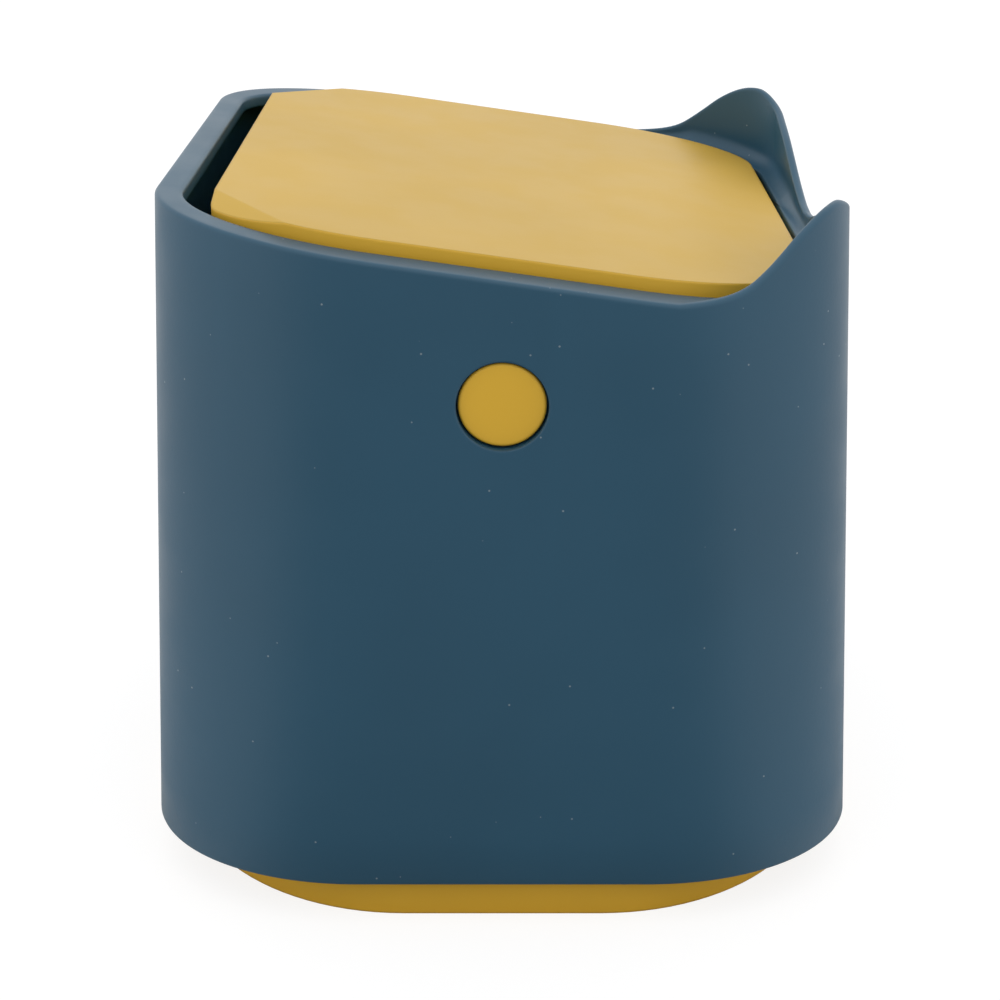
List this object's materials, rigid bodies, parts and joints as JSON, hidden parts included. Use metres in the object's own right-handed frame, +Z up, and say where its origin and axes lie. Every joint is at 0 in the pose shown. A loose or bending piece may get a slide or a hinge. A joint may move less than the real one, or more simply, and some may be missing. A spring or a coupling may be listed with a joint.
{
  "type": "cat litter trash can",
  "caption": "Small lidded waste bin shaped like a cat's head, with two ears on its low rim, a rocking lid on pivot caps and a lift-out bucket.",
  "frame": {"origin": "middle of the bounding box at the underside of the foot", "axes": "+Z up, +X towards the ears and the low end of the rim, +Y to the rear pivot cap"},
  "size_m": [0.2086, 0.2252, 0.2035],
  "materials": {
    "shell_blue": "satin moulded",
    "lid_yellow": "satin moulded",
    "cap_yellow": "satin moulded",
    "bucket_yellow": "satin moulded"
  },
  "bodies": {
    "bucket": {"inner_bucket": "bucket_yellow"},
    "shell": {"outer_shell": "shell_blue"},
    "lid": {"swing_lid": "lid_yellow", "pivot_cap_front": "cap_yellow", "pivot_cap_rear": "cap_yellow"}
  },
  "joints": [
    {"name": "shell_lift", "type": "slide", "parent": "bucket", "child": "shell", "axis": [0, 0, 1], "range_m": [0, 0.12]},
    {"name": "lid_swing", "type": "hinge", "parent": "shell", "child": "lid", "pos_m": [0, 0, 0.1558], "axis": [0, -1, 0], "range_deg": [0, 65]}
  ]
}
